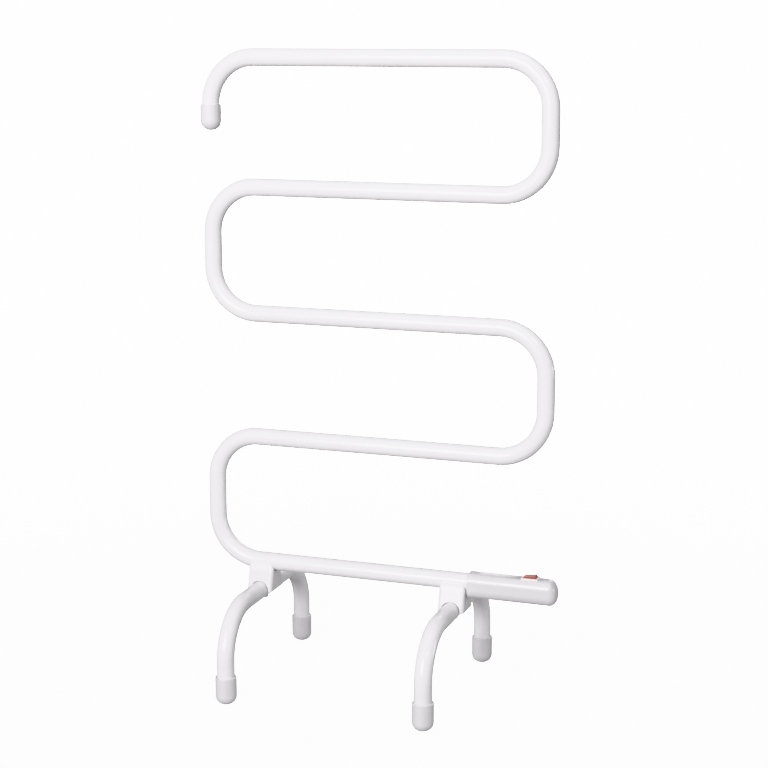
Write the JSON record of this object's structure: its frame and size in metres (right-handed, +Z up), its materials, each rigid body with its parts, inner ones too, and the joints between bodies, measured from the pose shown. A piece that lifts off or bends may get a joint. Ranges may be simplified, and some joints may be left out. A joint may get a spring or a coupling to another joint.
{
  "type": "heated towel rail",
  "caption": "Free-standing heated towel rail: one tube bent back and forth into level bars, on arched foot tubes, with a switched control housing on the lowest bar.",
  "frame": {"origin": "on the floor, under the middle of the overall width and depth", "axes": "+Z up, +X to the right along the bars towards the control housing, -Y towards the viewer, in the plane of the foot arches"},
  "size_m": [0.5155, 0.306, 0.8855],
  "materials": {
    "rail_paint": "white powder coat on steel, satin",
    "cap_plastic": "moulded white plastic",
    "housing_plastic": "moulded white ABS, satin",
    "bezel_plastic": "moulded cream nylon",
    "rocker_red": "clear red polycarbonate",
    "lamp_glass": "clear glass",
    "cable_sheath": "silicone sheath",
    "spacer_silicone": "moulded silicone",
    "zinc_steel": "zinc plated",
    "brass_parts": "stamped",
    "block_plastic": "moulded natural nylon",
    "cutout_case": "drawn case",
    "wire_brown": "insulated wire",
    "wire_blue": "insulated wire",
    "wire_green": "insulated wire"
  },
  "bodies": {
    "frame": {"serpentine_tube": "rail_paint", "heating_cable": "cable_sheath", "cable_spacers": "spacer_silicone", "cable_end_seal": "spacer_silicone", "top_end_cap": "cap_plastic", "foot_cap_front_left": "cap_plastic", "foot_cap_back_left": "cap_plastic", "foot_cap_front_right": "cap_plastic", "foot_cap_back_right": "cap_plastic", "left_foot_tube": "rail_paint", "right_foot_tube": "rail_paint", "left_bracket": "rail_paint", "right_bracket": "rail_paint", "left_nut_plate": "zinc_steel", "right_nut_plate": "zinc_steel", "foot_screws": "zinc_steel", "housing_upper": "housing_plastic", "housing_lower": "housing_plastic", "housing_screws": "zinc_steel", "tube_pin_screw": "zinc_steel", "tube_end_bush": "spacer_silicone", "earth_tag": "brass_parts", "earth_screw": "zinc_steel", "terminal_block": "block_plastic", "terminal_inserts": "brass_parts", "terminal_screws": "zinc_steel", "thermal_cutout": "cutout_case", "wire_heater_live": "wire_brown", "wire_switched_live": "wire_brown", "wire_live": "wire_brown", "wire_heater_neutral": "wire_blue", "wire_lamp": "wire_blue", "wire_earth": "wire_green", "cord_gland": "bezel_plastic", "gland_nut": "block_plastic", "switch_frame": "bezel_plastic", "switch_tabs": "brass_parts"},
    "rocker": {"rocker_button": "rocker_red", "switch_plunger": "block_plastic", "plunger_spring": "zinc_steel", "neon_lamp": "lamp_glass"},
    "blade": {"contact_blade": "brass_parts"}
  },
  "joints": [
    {"name": "rocker_turn", "type": "hinge", "parent": "frame", "child": "rocker", "pos_m": [0.22, 0, 0.18], "axis": [0, 1, 0], "range_deg": [0, 12]},
    {"name": "blade_turn", "type": "hinge", "parent": "frame", "child": "blade", "pos_m": [0.22, 0, 0.1705], "axis": [0, 1, 0], "range_deg": [-8.4, 0]}
  ],
  "couplings": [
    {"joint": "blade_turn", "follows": "rocker_turn", "ratio": -0.7}
  ]
}
